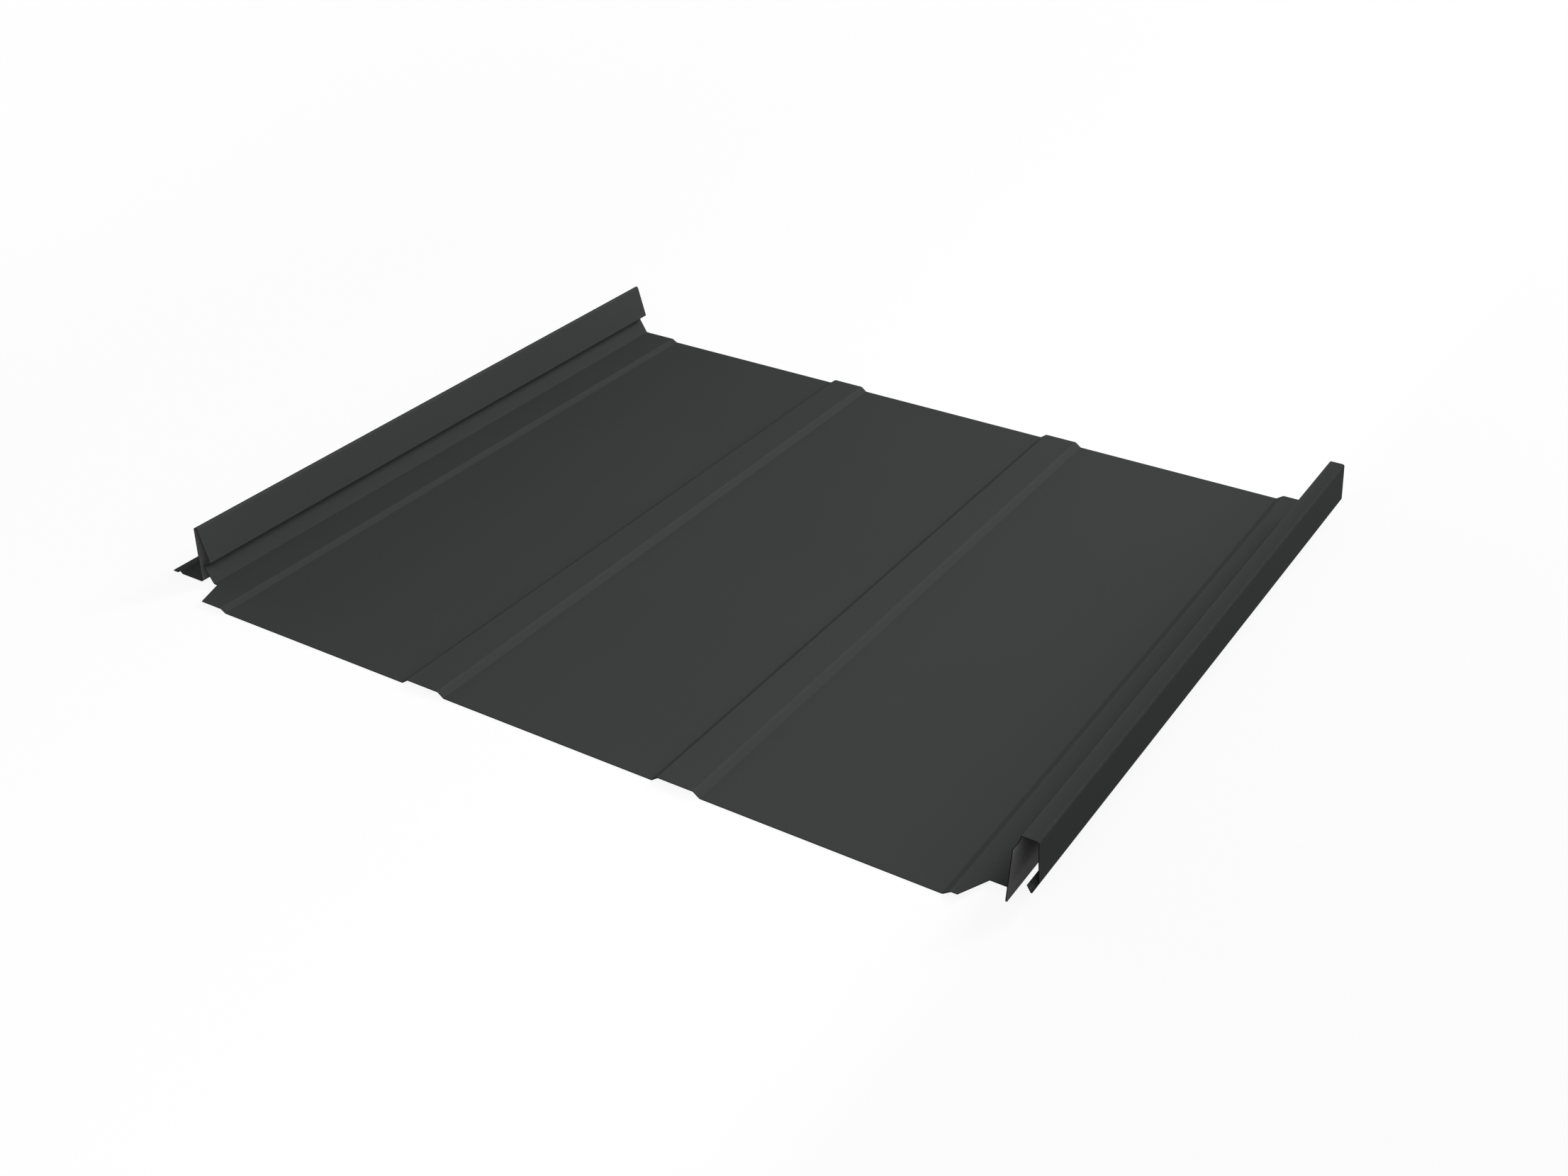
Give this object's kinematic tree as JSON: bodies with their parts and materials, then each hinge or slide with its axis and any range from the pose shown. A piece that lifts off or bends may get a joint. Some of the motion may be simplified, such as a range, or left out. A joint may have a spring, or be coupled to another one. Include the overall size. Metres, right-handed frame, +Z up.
{
  "type": "standing seam roof panel",
  "caption": "Ribbed steel roofing panel with a snap-lock seam along each side, a slotted nailing flange and notched eaves end.",
  "frame": {"origin": "middle of the panel's outline, on the surface that it rests on", "axes": "+X across the panel towards the covering seam, +Y along the seams from the eaves end to the back end, +Z up"},
  "size_m": [0.506, 0.4052, 0.0335],
  "materials": {
    "painted_steel": "matt dark grey coil coating"
  },
  "bodies": {
    "root": {"roof_panel": "painted_steel"}
  },
  "joints": []
}
